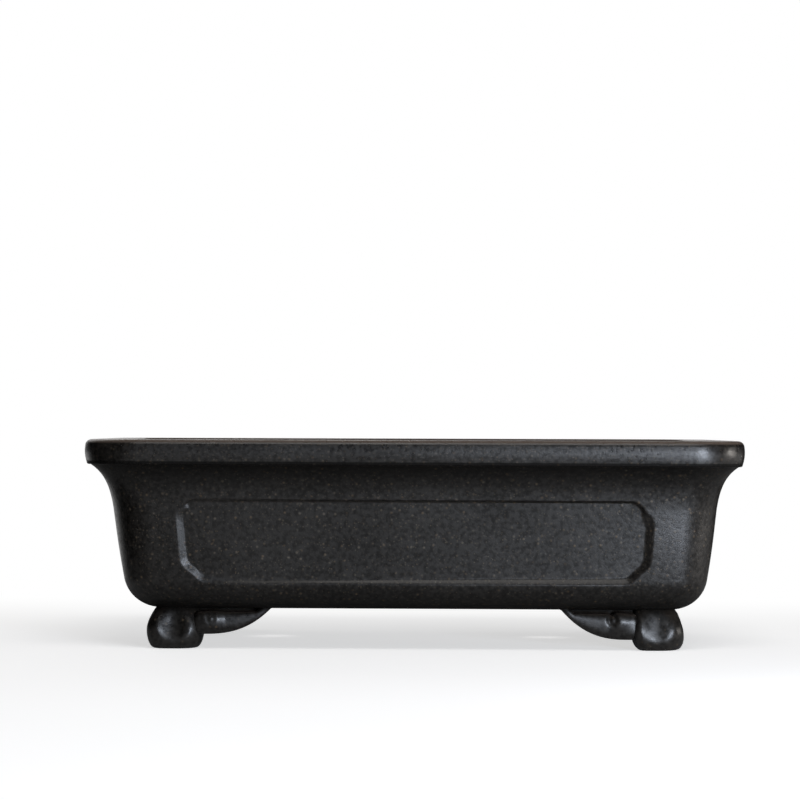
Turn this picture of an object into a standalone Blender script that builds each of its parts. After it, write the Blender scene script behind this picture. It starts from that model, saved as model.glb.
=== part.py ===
"""Rectangular clay planter on cloud-scroll feet, in the pieces that a potter lutes together before firing.

Metres, +X along the length, +Y to the back, +Z up. The origin is on the ground under the pot's middle.
An inset is a distance in from the rim's outermost line, the same on all four sides.
"""

import math

import bmesh
import bpy
from mathutils import Matrix, Vector

# Plan over the rim
LENGTH = 0.300
WIDTH = 0.204

# Layers from the ground up, with a line of slip between them
FOOT_HEIGHT = 0.0185
FLOOR_THICKNESS = 0.0085
WALL_RISE = 0.0577
RIM_HEIGHT = 0.0107
SLIP_JOINT = 0.0003

# Outer face of the walls, from the rim down
RIM_OVERHANG = 0.0022
FLARE_HEIGHT = 0.0205
FLARE_LIFT = math.radians(30.5)
FLARE_UPPER_PULL = 0.008
FLARE_LOWER_PULL = 0.011
NECK_INSET = 0.0130
WALL_TAPER = math.radians(8.0)
WALL_THICKNESS = 0.0080
BOTTOM_EDGE_RADIUS = 0.020

# Rounding of the vertical corners
RIM_CORNER_RADIUS = 0.0195
NECK_CORNER_RADIUS = 0.0150
INNER_CORNER_RADIUS = 0.0090
LEAST_CORNER_RADIUS = 0.0010

# Rim strip
RIM_BREADTH = 0.0145
RIM_FACE_BULGE = 0.0008
RIM_UNDERCUT = 0.0006
RIM_EDGE_RADIUS = 0.0024
RIM_MOUTH_RADIUS = 0.0020

# Sunken panel with stepped corners, one in each wall
PANEL_ABOVE_FLOOR = 0.0036
PANEL_BELOW_RIM = 0.0168
PANEL_MARGIN = 0.0275
PANEL_DEPTH = 0.0015
PANEL_NOTCH = 0.0054
PANEL_CORNER_RADIUS = 0.0044
PANEL_CUT_REACH = 0.0060

# Holes in the floor
DRAIN_DIAMETER = 0.020
DRAIN_SPACING = 0.130
WIRE_HOLE_DIAMETER = 0.0062
WIRE_HOLE_SPACING_X = 0.176
WIRE_HOLE_SPACING_Y = 0.070
HOLE_CUT_REACH = 0.004

# Coil pressed into the seam of wall and floor
COIL_LEG = 0.0060
COIL_EDGE = 0.0006

# Paw of a foot
FOOT_INSET = 0.0266
PAW_BREADTH = 0.0264
PAW_BELLY_HEIGHT = 0.0065
PAW_SOLE_DRAW = 0.0048
PAW_NECK_DRAW = 0.0048
PAW_HEEL_DRAW = 0.0008
PAW_CORNER_RADIUS = 0.0085
FOOT_BURY = 0.0030
DISH_DIAMETER = 0.0135
DISH_DEPTH = 0.0026
DISH_HEIGHT = 0.0096

# Wing of a foot
WING_LENGTH = 0.0293
WING_DROP = 0.0135
WING_SETBACK = 0.0032
WING_THICKNESS = 0.0100
WING_EDGE_RADIUS = 0.0016
WING_HEEL_REACH = 0.0060
WING_HEEL_HEIGHT = 0.0050
WING_BELLY_PULL = 0.0100
WING_TIP_PULL = 0.0060
WING_TIP_ANGLE = math.radians(52.0)
EYE_DIAMETER = 0.0052
EYE_DEPTH = 0.0016
EYE_FROM_HEEL = 0.0056
EYE_BELOW_FLOOR = 0.0062

# Facets
CORNER_STEPS = 5
EDGE_STEPS = 5
FLARE_STEPS = 6
RIM_FACE_STEPS = 4
ROUND_STEPS = 3
PAW_STEPS = 4
NOTCH_STEPS = 4
CURVE_STEPS = 6
DRAIN_SEGMENTS = 28
WIRE_HOLE_SEGMENTS = 16
BALL_SEGMENTS = 24
BALL_RINGS = 16
CREASE_ANGLE = math.radians(35.0)
FLAT_ANGLE = math.radians(0.1)
WELD_DISTANCE = 1e-6

# Pull of a Bezier handle that makes a quarter round, as a share of the round's radius
QUARTER_PULL = 0.5523

# Clay: linear colour and roughness
WALL_CLAY = ((0.017, 0.0165, 0.0175), 0.46)
RIM_CLAY = ((0.020, 0.0190, 0.0195), 0.40)
FOOT_CLAY = ((0.016, 0.0157, 0.0162), 0.38)

# Levels and places that follow from the sizes above
FLOOR_TOP = FOOT_HEIGHT + FLOOR_THICKNESS
WALL_FOOT = FLOOR_TOP + SLIP_JOINT
WALL_TOP = WALL_FOOT + WALL_RISE
RIM_FOOT = WALL_TOP + SLIP_JOINT
RIM_TOP = RIM_FOOT + RIM_HEIGHT
NECK_LEVEL = WALL_TOP - FLARE_HEIGHT
WING_TOP = FOOT_HEIGHT + FOOT_BURY
WING_INSET = FOOT_INSET + WING_SETBACK
WING_HEEL = FOOT_INSET + PAW_BREADTH + SLIP_JOINT

SIDES = {"front": (0.0, LENGTH, WIDTH), "right": (90.0, WIDTH, LENGTH), "back": (180.0, LENGTH, WIDTH),
         "left": (270.0, WIDTH, LENGTH)}
CORNERS = {"front_right": (1, 1), "front_left": (-1, 1), "back_right": (1, -1), "back_left": (-1, -1)}


def taper_inset(level):
    """Inset of the straight, tapering part of the outer face, carried on above and below it."""
    return NECK_INSET + (NECK_LEVEL - level) * math.tan(WALL_TAPER)


EDGE_CENTRE_LEVEL = FOOT_HEIGHT + BOTTOM_EDGE_RADIUS
EDGE_CENTRE_INSET = taper_inset(EDGE_CENTRE_LEVEL) + BOTTOM_EDGE_RADIUS / math.cos(WALL_TAPER)


def inner_inset(level):
    """Inset of the inner face: parallel to the taper up to the neck, then leaning out to the mouth."""
    below = taper_inset(min(level, NECK_LEVEL)) + WALL_THICKNESS / math.cos(WALL_TAPER)
    rise = max(level - NECK_LEVEL, 0.0) / (RIM_TOP - NECK_LEVEL)
    return below + (RIM_BREADTH - below) * rise


def corner_radius(inset):
    """Corner radius of the outer face, which tightens as the wall draws in."""
    tighten = (RIM_CORNER_RADIUS - NECK_CORNER_RADIUS) / NECK_INSET
    return max(RIM_CORNER_RADIUS - tighten * inset, LEAST_CORNER_RADIUS)


def arc(centre_inset, centre_level, radius, start, end, steps):
    """Points of an arc in the (inset, level) plane, with angles in radians from the +inset direction."""
    turns = [start + (end - start) * step / steps for step in range(steps + 1)]
    return [(centre_inset + radius * math.cos(t), centre_level + radius * math.sin(t)) for t in turns]


def bottom_edge(low, high, grow=0.0):
    """Rounded bottom edge between two levels, from the lower one up, grown outward if asked."""
    radius = BOTTOM_EDGE_RADIUS + grow
    start = math.pi + math.asin(min((EDGE_CENTRE_LEVEL - low) / radius, 1.0))
    end = math.pi + math.asin((EDGE_CENTRE_LEVEL - high) / radius)
    return arc(EDGE_CENTRE_INSET, EDGE_CENTRE_LEVEL, radius, start, end, EDGE_STEPS)


def flare():
    """Hollow curve of the neck, from the taper's end up to the underside of the rim."""
    low = Vector((NECK_INSET, NECK_LEVEL))
    high = Vector((RIM_OVERHANG, WALL_TOP))
    low_pull = low + FLARE_LOWER_PULL * Vector((-math.sin(WALL_TAPER), math.cos(WALL_TAPER)))
    high_pull = high + FLARE_UPPER_PULL * Vector((math.cos(FLARE_LIFT), -math.sin(FLARE_LIFT)))
    points = []
    for step in range(FLARE_STEPS + 1):
        t = step / FLARE_STEPS
        s = 1.0 - t
        points.append(tuple(s**3 * low + 3 * s * s * t * low_pull + 3 * s * t * t * high_pull + t**3 * high))
    return points


def wall_section():
    """Closed section of a wall as (inset, level, corner radius)."""
    taper_foot = EDGE_CENTRE_LEVEL + BOTTOM_EDGE_RADIUS * math.sin(WALL_TAPER)
    outer = bottom_edge(WALL_FOOT, taper_foot) + flare()
    section = [(inset, level, corner_radius(inset)) for inset, level in outer]
    for level in (WALL_TOP, NECK_LEVEL, WALL_FOOT):
        section.append((inner_inset(level), level, INNER_CORNER_RADIUS))
    return section


def rim_section():
    """Closed section of a rim strip: a bulging face, a rounded top edge and a rounded mouth."""
    face_low = RIM_FOOT + RIM_UNDERCUT
    face_high = RIM_TOP - RIM_EDGE_RADIUS
    middle = (face_low + RIM_TOP) / 2
    half = (RIM_TOP - face_low) / 2
    undercut_inset = RIM_OVERHANG - SLIP_JOINT / math.tan(FLARE_LIFT)
    outer = [(undercut_inset, RIM_FOOT)]
    for step in range(RIM_FACE_STEPS + 1):
        level = face_low + (face_high - face_low) * step / RIM_FACE_STEPS
        outer.append((RIM_FACE_BULGE * ((level - middle) / half) ** 2, level))
    top_inset = outer[-1][0] + RIM_EDGE_RADIUS
    outer += arc(top_inset, face_high, RIM_EDGE_RADIUS, math.pi, math.pi / 2, ROUND_STEPS)[1:]
    section = [(inset, level, corner_radius(inset)) for inset, level in outer]
    mouth = arc(RIM_BREADTH - RIM_MOUTH_RADIUS, RIM_TOP - RIM_MOUTH_RADIUS, RIM_MOUTH_RADIUS,
                math.pi / 2, 0.0, ROUND_STEPS)
    mouth.append((inner_inset(RIM_FOOT), RIM_FOOT))
    for inset, level in mouth:
        section.append((inset, level, INNER_CORNER_RADIUS + max(RIM_BREADTH - inset, 0.0)))
    return section


def coil_section():
    """Closed section of a seam coil: a hollow fillet that keeps a line of slip to wall and floor."""
    foot = FLOOR_TOP + SLIP_JOINT
    head = foot + COIL_LEG
    wall_gap = SLIP_JOINT / math.cos(WALL_TAPER)
    corner = inner_inset(foot) + wall_gap
    sweep = COIL_LEG - COIL_EDGE
    hollow = arc(corner + COIL_LEG, head, sweep, math.pi, 1.5 * math.pi, EDGE_STEPS)
    outline = [(corner, foot), (inner_inset(head) + wall_gap, head)] + hollow + [(corner + COIL_LEG, foot)]
    section = []
    for inset, level in outline:
        inward = inset - inner_inset(level)
        section.append((inset, level, max(INNER_CORNER_RADIUS - inward, LEAST_CORNER_RADIUS)))
    return section


def side_run(inset, radius, run, span):
    """Plan points along the side that faces -Y, from one corner's mitre to the next, a slip joint apart."""
    centre = Vector((run / 2 - inset - radius, span / 2 - inset - radius))
    points = []
    for sign, first in ((-1, 225.0), (1, 270.0)):
        for step in range(CORNER_STEPS + 1):
            angle = math.radians(first + 45.0 * step / CORNER_STEPS)
            points.append(Vector((sign * centre.x + radius * math.cos(angle),
                                  -centre.y + radius * math.sin(angle))))
    mitre_step = SLIP_JOINT / 2 * math.sqrt(0.5)
    points[0] += Vector((mitre_step, -mitre_step))
    points[-1] += Vector((-mitre_step, -mitre_step))
    return points


def rounded_rectangle(half_x, half_y, radius):
    """Closed plan outline, anticlockwise, around the origin."""
    points = []
    for quarter, (sign_x, sign_y) in enumerate(((1, 1), (-1, 1), (-1, -1), (1, -1))):
        for step in range(2 * CORNER_STEPS + 1):
            angle = math.pi / 2 * (quarter + step / (2 * CORNER_STEPS))
            points.append((sign_x * (half_x - radius) + radius * math.cos(angle),
                           sign_y * (half_y - radius) + radius * math.sin(angle)))
    return points


def mesh_from(name, bm):
    """Mesh made of a bmesh, with its faces turned out."""
    bmesh.ops.recalc_face_normals(bm, faces=bm.faces)
    mesh = bpy.data.meshes.new(name)
    bm.to_mesh(mesh)
    bm.free()
    return mesh


def swept_side(name, section, side):
    """A strip or slab along one side: each point of its section runs round with its own corner radius."""
    turn, run, span = SIDES[side]
    bm = bmesh.new()
    rows = []
    for inset, level, radius in section:
        rows.append([bm.verts.new((p.x, p.y, level)) for p in side_run(inset, radius, run, span)])
    for row, following in zip(rows, rows[1:] + rows[:1]):
        for i in range(len(row) - 1):
            bm.faces.new((row[i], row[i + 1], following[i + 1], following[i]))
    bm.faces.new([row[0] for row in rows])
    bm.faces.new([row[-1] for row in rows])
    bmesh.ops.rotate(bm, verts=bm.verts, matrix=Matrix.Rotation(math.radians(turn), 3, "Z"))
    return mesh_from(name, bm)


def lofted_block(name, rings):
    """A closed block through plan outlines given as (points, level)."""
    bm = bmesh.new()
    rows = [[bm.verts.new((x, y, level)) for x, y in points] for points, level in rings]
    for row, following in zip(rows, rows[1:]):
        for i in range(len(row)):
            after = (i + 1) % len(row)
            bm.faces.new((row[i], row[after], following[after], following[i]))
    bm.faces.new(rows[0])
    bm.faces.new(rows[-1])
    return mesh_from(name, bm)


def floor_block(name, grow=0.0):
    """The floor slab's outer form, grown by a joint's width for cutting what is luted under it."""
    rings = []
    for inset, level in bottom_edge(FOOT_HEIGHT - grow, FLOOR_TOP, grow):
        outline = rounded_rectangle(LENGTH / 2 - inset, WIDTH / 2 - inset, corner_radius(inset))
        rings.append((outline, level))
    return lofted_block(name, rings)


def settled_mesh(obj):
    """An object's mesh with modifiers or bevel worked out and its caps made whole; the object goes."""
    depsgraph = bpy.context.evaluated_depsgraph_get()
    mesh = bpy.data.meshes.new_from_object(obj.evaluated_get(depsgraph))
    bm = bmesh.new()
    bm.from_mesh(mesh)
    bmesh.ops.remove_doubles(bm, verts=bm.verts, dist=WELD_DISTANCE)
    bmesh.ops.dissolve_limit(bm, angle_limit=FLAT_ANGLE, verts=bm.verts, edges=bm.edges)
    bmesh.ops.recalc_face_normals(bm, faces=bm.faces)
    bm.to_mesh(mesh)
    bm.free()
    bpy.data.objects.remove(obj)
    return mesh


def plate_curve(name, thickness, edge_radius):
    """A flat 2D curve that fills its outline to a plate with rounded edges inside that outline."""
    curve = bpy.data.curves.new(name, "CURVE")
    curve.dimensions = "2D"
    curve.fill_mode = "BOTH"
    curve.extrude = thickness / 2 - edge_radius
    curve.bevel_depth = edge_radius
    curve.bevel_resolution = 1
    curve.offset = -edge_radius
    curve.resolution_u = CURVE_STEPS
    return curve


class Bench:
    """The collections and the parent that the finished pieces and the cutters go to."""

    def __init__(self):
        for obj in list(bpy.data.objects):
            bpy.data.objects.remove(obj)
        self.pieces = self.collection("clay_planter")
        self.cutters = self.collection("cutters")
        self.parent = bpy.data.objects.new("planter_origin", None)
        self.pieces.objects.link(self.parent)

    def collection(self, name):
        """A new collection in the scene."""
        made = bpy.data.collections.new(name)
        bpy.context.scene.collection.children.link(made)
        return made

    def piece(self, name, mesh, clay):
        """A finished piece of one clay, smooth but for its creases."""
        mesh.materials.clear()
        mesh.materials.append(clay)
        mesh.shade_smooth()
        mesh.set_sharp_from_angle(angle=CREASE_ANGLE)
        obj = bpy.data.objects.new(name, mesh)
        obj.parent = self.parent
        self.pieces.objects.link(obj)
        return obj

    def cutter(self, name, data, matrix=None):
        """A form that only shapes other pieces."""
        obj = bpy.data.objects.new(name, data)
        obj.matrix_world = matrix or Matrix()
        obj.hide_render = True
        obj.display_type = "WIRE"
        self.cutters.objects.link(obj)
        return obj


def cut(obj, *cutters, solver="EXACT"):
    """Take each cutter's form out of an object."""
    for cutter in cutters:
        modifier = obj.modifiers.new("cut_" + cutter.name, "BOOLEAN")
        modifier.operation = "DIFFERENCE"
        modifier.solver = solver
        modifier.object = cutter
    bpy.context.view_layer.update()


def clay_material(name, clay):
    """Unglazed fired clay."""
    colour, roughness = clay
    material = bpy.data.materials.new(name)
    material.use_nodes = True
    shader = material.node_tree.nodes["Principled BSDF"]
    shader.inputs["Base Color"].default_value = (*colour, 1.0)
    shader.inputs["Roughness"].default_value = roughness
    shader.inputs["Metallic"].default_value = 0.0
    material.diffuse_color = (*colour, 1.0)
    return material


def panel_outline(half_length, half_height):
    """Outline of a panel whose ends lean with the walls and whose corners step in by a notch."""
    lean = math.sin(WALL_TAPER)
    radius = PANEL_CORNER_RADIUS
    points = []
    for quarter, (sign_x, sign_y) in enumerate(((1, 1), (-1, 1), (-1, -1), (1, -1))):
        end = half_length + sign_y * half_height * lean
        lobes = [Vector((end - radius, half_height - PANEL_NOTCH - radius)),
                 Vector((end - PANEL_NOTCH - radius, half_height - radius))]
        hollow = [Vector((end - PANEL_NOTCH, half_height - PANEL_NOTCH))]
        quarter_arc = [math.pi / 2 * step / NOTCH_STEPS for step in range(NOTCH_STEPS + 1)]
        first, second = [[lobe + radius * Vector((math.cos(t), math.sin(t))) for t in quarter_arc]
                         for lobe in lobes]
        corner = first + hollow + second
        if quarter % 2:
            corner.reverse()
        points += [(sign_x * p.x, sign_y * p.y) for p in corner]
    return points


def panel_cutter(bench, side):
    """A rounded plate set into one wall, square to its taper, that leaves the sunken panel."""
    turn, run, span = SIDES[side]
    low = FLOOR_TOP + PANEL_ABOVE_FLOOR
    high = WALL_TOP - PANEL_BELOW_RIM
    middle = (low + high) / 2
    half_height = (high - low) / 2 / math.cos(WALL_TAPER)
    half_length = run / 2 - taper_inset(middle) - PANEL_MARGIN
    thickness = PANEL_DEPTH + PANEL_CUT_REACH
    curve = plate_curve("panel_outline", thickness, PANEL_DEPTH)
    outline = panel_outline(half_length, half_height)
    spline = curve.splines.new("POLY")
    spline.points.add(len(outline) - 1)
    for point, (x, y) in zip(spline.points, outline):
        point.co = (x, y, 0.0, 1.0)
    spline.use_cyclic_u = True
    mesh = settled_mesh(bench.cutter("panel_outline", curve))
    face = Matrix.Translation((0.0, taper_inset(middle) - span / 2, middle))
    upright = Matrix.Rotation(math.pi / 2 + WALL_TAPER, 4, "X")
    lift = Matrix.Translation((0.0, 0.0, thickness / 2 - PANEL_DEPTH))
    place = Matrix.Rotation(math.radians(turn), 4, "Z") @ face @ upright @ lift
    return bench.cutter(side + "_panel_cutter", mesh, place)


def make_walls(bench, clay):
    """Four wall slabs, mitred at the corners, each with its sunken panel."""
    for side in SIDES:
        wall = bench.piece(side + "_wall", swept_side(side + "_wall", wall_section(), side), clay)
        cut(wall, panel_cutter(bench, side), solver="MANIFOLD")


def make_strips(bench, clay, name, section):
    """One strip along each side."""
    for side in SIDES:
        bench.piece(f"{side}_{name}", swept_side(f"{side}_{name}", section, side), clay)


def hole_cutter(bench, name, diameter, places, segments):
    """Round pegs through the floor."""
    bm = bmesh.new()
    for x, y in places:
        bmesh.ops.create_cone(bm, cap_ends=True, segments=segments, radius1=diameter / 2,
                              radius2=diameter / 2, depth=FLOOR_THICKNESS + 2 * HOLE_CUT_REACH,
                              matrix=Matrix.Translation((x, y, FOOT_HEIGHT + FLOOR_THICKNESS / 2)))
    return bench.cutter(name, mesh_from(name, bm))


def make_floor(bench, clay):
    """The floor slab, with two drain holes and four holes for tie wire."""
    floor = bench.piece("floor_slab", floor_block("floor_slab"), clay)
    drains = [(sign * DRAIN_SPACING / 2, 0.0) for sign in (-1, 1)]
    wires = [(x * WIRE_HOLE_SPACING_X / 2, y * WIRE_HOLE_SPACING_Y / 2) for x in (-1, 1) for y in (-1, 1)]
    cut(floor, hole_cutter(bench, "drain_pegs", DRAIN_DIAMETER, drains, DRAIN_SEGMENTS),
        hole_cutter(bench, "wire_pegs", WIRE_HOLE_DIAMETER, wires, WIRE_HOLE_SEGMENTS))


def dish_cutter(bench, name, centre, outward, diameter, depth):
    """A ball that leaves a dish of a given width and depth where its face is at centre."""
    radius = ((diameter / 2) ** 2 + depth**2) / (2 * depth)
    bm = bmesh.new()
    bmesh.ops.create_uvsphere(bm, u_segments=BALL_SEGMENTS, v_segments=BALL_RINGS, radius=radius)
    place = Matrix.Translation(centre + outward * (radius - depth))
    return bench.cutter(name, mesh_from(name, bm), place)


def paw_block():
    """A cushion that draws in to its sole and, on its outer faces, to its neck; front right corner."""
    draws = []
    for step in range(PAW_STEPS + 1):
        turn = math.pi / 2 * step / PAW_STEPS
        sole_draw = PAW_SOLE_DRAW * (1 - math.sin(turn))
        draws.append((sole_draw, sole_draw, PAW_BELLY_HEIGHT * (1 - math.cos(turn))))
    for step in range(1, PAW_STEPS + 1):
        share = step / PAW_STEPS
        ease = 1 - math.cos(math.pi / 2 * share)
        level = PAW_BELLY_HEIGHT + (FOOT_HEIGHT - PAW_BELLY_HEIGHT) * share
        draws.append((PAW_NECK_DRAW * ease, PAW_HEEL_DRAW * ease, level))
    draws.append((PAW_NECK_DRAW, PAW_HEEL_DRAW, FOOT_HEIGHT + FOOT_BURY))
    rings = []
    for outer, inner, level in draws:
        half = (PAW_BREADTH - outer - inner) / 2
        centre = FOOT_INSET + outer + half
        radius = max(PAW_CORNER_RADIUS - (outer + inner) / 2, LEAST_CORNER_RADIUS)
        outline = [(LENGTH / 2 - centre + x, centre - WIDTH / 2 + y)
                   for x, y in rounded_rectangle(half, half, radius)]
        rings.append((outline, level))
    return lofted_block("paw", rings)


def make_paws(bench, clay, underside):
    """A paw under each corner, with a dish on each outer face."""
    pattern = bench.cutter("paw_pattern", paw_block())
    centre = FOOT_INSET + PAW_BREADTH / 2
    front = Vector((LENGTH / 2 - centre, FOOT_INSET - WIDTH / 2, DISH_HEIGHT))
    end = Vector((LENGTH / 2 - FOOT_INSET, centre - WIDTH / 2, DISH_HEIGHT))
    dishes = [dish_cutter(bench, "front_dish", front, Vector((0.0, -1.0, 0.0)), DISH_DIAMETER, DISH_DEPTH),
              dish_cutter(bench, "end_dish", end, Vector((1.0, 0.0, 0.0)), DISH_DIAMETER, DISH_DEPTH)]
    cut(pattern, underside, *dishes)
    place_at_corners(bench, settled_mesh(pattern), "paw", clay)


def wing_knots():
    """Bezier knots of the wing's outline as (place, pull before, pull after); no pull is a straight run."""
    belly = FOOT_HEIGHT - WING_DROP
    tip = Vector((WING_LENGTH, FOOT_HEIGHT))
    tip_slope = Vector((math.cos(WING_TIP_ANGLE), math.sin(WING_TIP_ANGLE)))
    sole = Vector((WING_HEEL_REACH, belly))
    heel = Vector((0.0, belly + WING_HEEL_HEIGHT))
    return [
        (Vector((0.0, WING_TOP)), None, None),
        (tip + tip_slope * FOOT_BURY / tip_slope.y, None, None),
        (tip, None, tip - WING_TIP_PULL * tip_slope),
        (sole, sole + Vector((WING_BELLY_PULL, 0.0)), sole - Vector((QUARTER_PULL * WING_HEEL_REACH, 0.0))),
        (heel, heel - Vector((0.0, QUARTER_PULL * WING_HEEL_HEIGHT)), None),
    ]


def wing_plate(bench, place):
    """The wing's outline, heel to tip, as a plate with rounded edges."""
    curve = plate_curve("wing_outline", WING_THICKNESS, WING_EDGE_RADIUS)
    knots = wing_knots()
    spline = curve.splines.new("BEZIER")
    spline.bezier_points.add(len(knots) - 1)
    for point, (at, before, after) in zip(spline.bezier_points, knots):
        point.handle_left_type = "FREE" if before else "VECTOR"
        point.handle_right_type = "FREE" if after else "VECTOR"
        point.co = at.to_3d()
        point.handle_left = (before or at).to_3d()
        point.handle_right = (after or at).to_3d()
    spline.use_cyclic_u = True
    mesh = settled_mesh(bench.cutter("wing_outline", curve))
    mesh.transform(place)
    return mesh


def make_wings(bench, clay, underside):
    """A wing along the front or back and one along the end, on each paw."""
    depth = WING_INSET + WING_THICKNESS / 2
    front = Matrix(((-1, 0, 0, LENGTH / 2 - WING_HEEL), (0, 0, 1, depth - WIDTH / 2), (0, 1, 0, 0),
                    (0, 0, 0, 1)))
    end = Matrix(((0, 0, 1, LENGTH / 2 - depth), (1, 0, 0, WING_HEEL - WIDTH / 2), (0, 1, 0, 0),
                  (0, 0, 0, 1)))
    for name, place, outer in (("wing", front, -1), ("end_wing", end, 1)):
        pattern = bench.cutter(name + "_pattern", wing_plate(bench, place))
        eye_level = FOOT_HEIGHT - EYE_BELOW_FLOOR
        eye = place @ Vector((EYE_FROM_HEEL, eye_level, outer * WING_THICKNESS / 2))
        outward = place.to_3x3() @ Vector((0.0, 0.0, outer))
        cut(pattern, underside, dish_cutter(bench, name + "_eye", eye, outward, EYE_DIAMETER, EYE_DEPTH))
        place_at_corners(bench, settled_mesh(pattern), name, clay)


def place_at_corners(bench, mesh, name, clay):
    """The front right piece, and its mirror images at the other corners."""
    for corner, (sign_x, sign_y) in CORNERS.items():
        copy = mesh.copy()
        copy.transform(Matrix.Diagonal((sign_x, sign_y, 1.0, 1.0)))
        if sign_x * sign_y < 0:
            copy.flip_normals()
        bench.piece(f"{corner}_{name}", copy, clay)


def main():
    bench = Bench()
    wall_clay = clay_material("wall_clay", WALL_CLAY)
    rim_clay = clay_material("rim_clay", RIM_CLAY)
    foot_clay = clay_material("foot_clay", FOOT_CLAY)
    make_floor(bench, wall_clay)
    make_walls(bench, wall_clay)
    make_strips(bench, rim_clay, "rim_strip", rim_section())
    make_strips(bench, wall_clay, "seam_coil", coil_section())
    underside = bench.cutter("underside", floor_block("underside", SLIP_JOINT))
    make_paws(bench, foot_clay, underside)
    make_wings(bench, foot_clay, underside)


main()
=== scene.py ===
import math

import bmesh
import bpy
import numpy as np
from mathutils import Matrix, Vector


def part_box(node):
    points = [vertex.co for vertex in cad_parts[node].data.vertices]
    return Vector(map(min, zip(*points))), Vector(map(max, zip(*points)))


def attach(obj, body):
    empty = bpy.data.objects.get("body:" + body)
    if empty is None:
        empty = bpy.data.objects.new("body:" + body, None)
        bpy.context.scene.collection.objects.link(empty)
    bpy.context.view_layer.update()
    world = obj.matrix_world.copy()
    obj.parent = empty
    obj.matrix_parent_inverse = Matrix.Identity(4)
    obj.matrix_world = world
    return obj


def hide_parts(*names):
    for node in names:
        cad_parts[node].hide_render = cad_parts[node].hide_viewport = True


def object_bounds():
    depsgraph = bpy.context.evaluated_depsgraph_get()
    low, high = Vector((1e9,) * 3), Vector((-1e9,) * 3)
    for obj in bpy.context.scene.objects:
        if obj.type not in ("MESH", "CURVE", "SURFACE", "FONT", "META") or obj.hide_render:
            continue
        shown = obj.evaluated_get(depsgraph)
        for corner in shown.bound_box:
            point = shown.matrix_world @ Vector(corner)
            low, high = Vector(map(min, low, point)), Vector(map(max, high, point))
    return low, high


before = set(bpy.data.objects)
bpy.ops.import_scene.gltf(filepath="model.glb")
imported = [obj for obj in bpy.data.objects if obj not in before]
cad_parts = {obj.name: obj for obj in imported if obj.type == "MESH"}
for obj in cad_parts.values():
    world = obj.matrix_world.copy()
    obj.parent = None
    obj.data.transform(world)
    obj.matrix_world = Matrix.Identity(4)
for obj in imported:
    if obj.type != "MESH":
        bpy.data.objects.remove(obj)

CAD_LOW, CAD_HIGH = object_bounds()
BODY = "root"

# Sizes that the frame holds, in metres.
HALF_LENGTH = CAD_HIGH.x
HALF_WIDTH = CAD_HIGH.y
RIM_TOP = CAD_HIGH.z
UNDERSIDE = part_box("floor_slab")[0].z
FLOOR_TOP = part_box("floor_slab")[1].z
WALL_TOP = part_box("front_wall")[1].z
RIM_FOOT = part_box("front_rim_strip")[0].z
PAW_LOW, PAW_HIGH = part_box("front_right_paw")
WING_LOW, WING_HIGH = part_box("front_right_wing")

# Wall: taper, neck and bottom edge.
WALL_TAPER = math.radians(8.0)
WALL_THICKNESS = 0.0080
NECK_INSET = 0.0121
FLARE_HEIGHT = 0.0205
FLARE_LIFT = math.radians(30.5)
FLARE_UPPER_PULL = 0.0080
FLARE_LOWER_PULL = 0.0110
RIM_OVERHANG = 0.0011
EDGE_RADIUS = 0.0166
WALL_BULGE = 0.0003
INNER_CORNER_RADIUS = 0.0090
LEAST_CORNER_RADIUS = 0.0010
SEAM_FILLET = 0.0060

# Rim band.
RIM_CORNER_RADIUS = 0.0248
NECK_CORNER_RADIUS = 0.0180
RIM_BREADTH = 0.0145
RIM_FACE_BULGE = 0.0008
RIM_LOWER_ROUND = 0.0009
RIM_EDGE_RADIUS = 0.0030
RIM_MOUTH_RADIUS = 0.0020
RIM_TONGUE = 0.0008
RIM_SKIRT = 0.0012

# How much lower each end of the rim lies than its highest corner, at the front and at the back.
RIM_DROOP_LEFT = (0.0006, 0.0005)
RIM_DROOP_RIGHT = (0.0001, 0.0)

# Sunken panel.
PANEL_ABOVE_FLOOR = 0.0029
PANEL_BELOW_RIM = 0.0162
PANEL_MARGIN = 0.0283
PANEL_LEAN = 0.075
PANEL_DEPTH = 0.0016
PANEL_SLANT = 0.0006
PANEL_LEAST_DEPTH = 0.0009
PANEL_DISH = 0.0003
PANEL_CUT = 0.0090
PANEL_LEFT_HEAD_CUT = 0.0062
PANEL_CUT_SOFT = 0.0022
PANEL_CUSP = 0.0003
PANEL_CUSP_REACH = 0.0050
DIAGONAL = math.sqrt(2.0)
PANEL_BEVEL_RUN = 1.9
PANEL_LEFT_RUN = 3.8
PANEL_BEVEL_SOFT = 0.22
PANEL_HEAD_BEVEL = 0.0012
PANEL_HEAD_FADE = 2.0
PANEL_LEFT_NARROW = 0.5

# Holes in the floor.
DRAIN_RADIUS = 0.0100
DRAIN_REACH = 0.0650
WIRE_RADIUS = 0.0031
WIRE_REACH = Vector((0.0880, 0.0350))
HOLE_LIP = 0.0012

# Paw: an inset by level, a dished scroll on each outer face.
PAW_BELLY_LEVEL = 0.0086
PAW_SOLE_DRAW = 0.0036
PAW_NECK_DRAW = 0.0040
PAW_NECK_POWER = 1.9
PAW_OUTER_TRIM = 0.0003
PAW_INNER_SHARE = 0.2
PAW_SOFT = 0.0009
FOOT_HEAD = 0.0245
DISH_LEVEL = 0.0110
DISH_RADIUS = 0.0086

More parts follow.
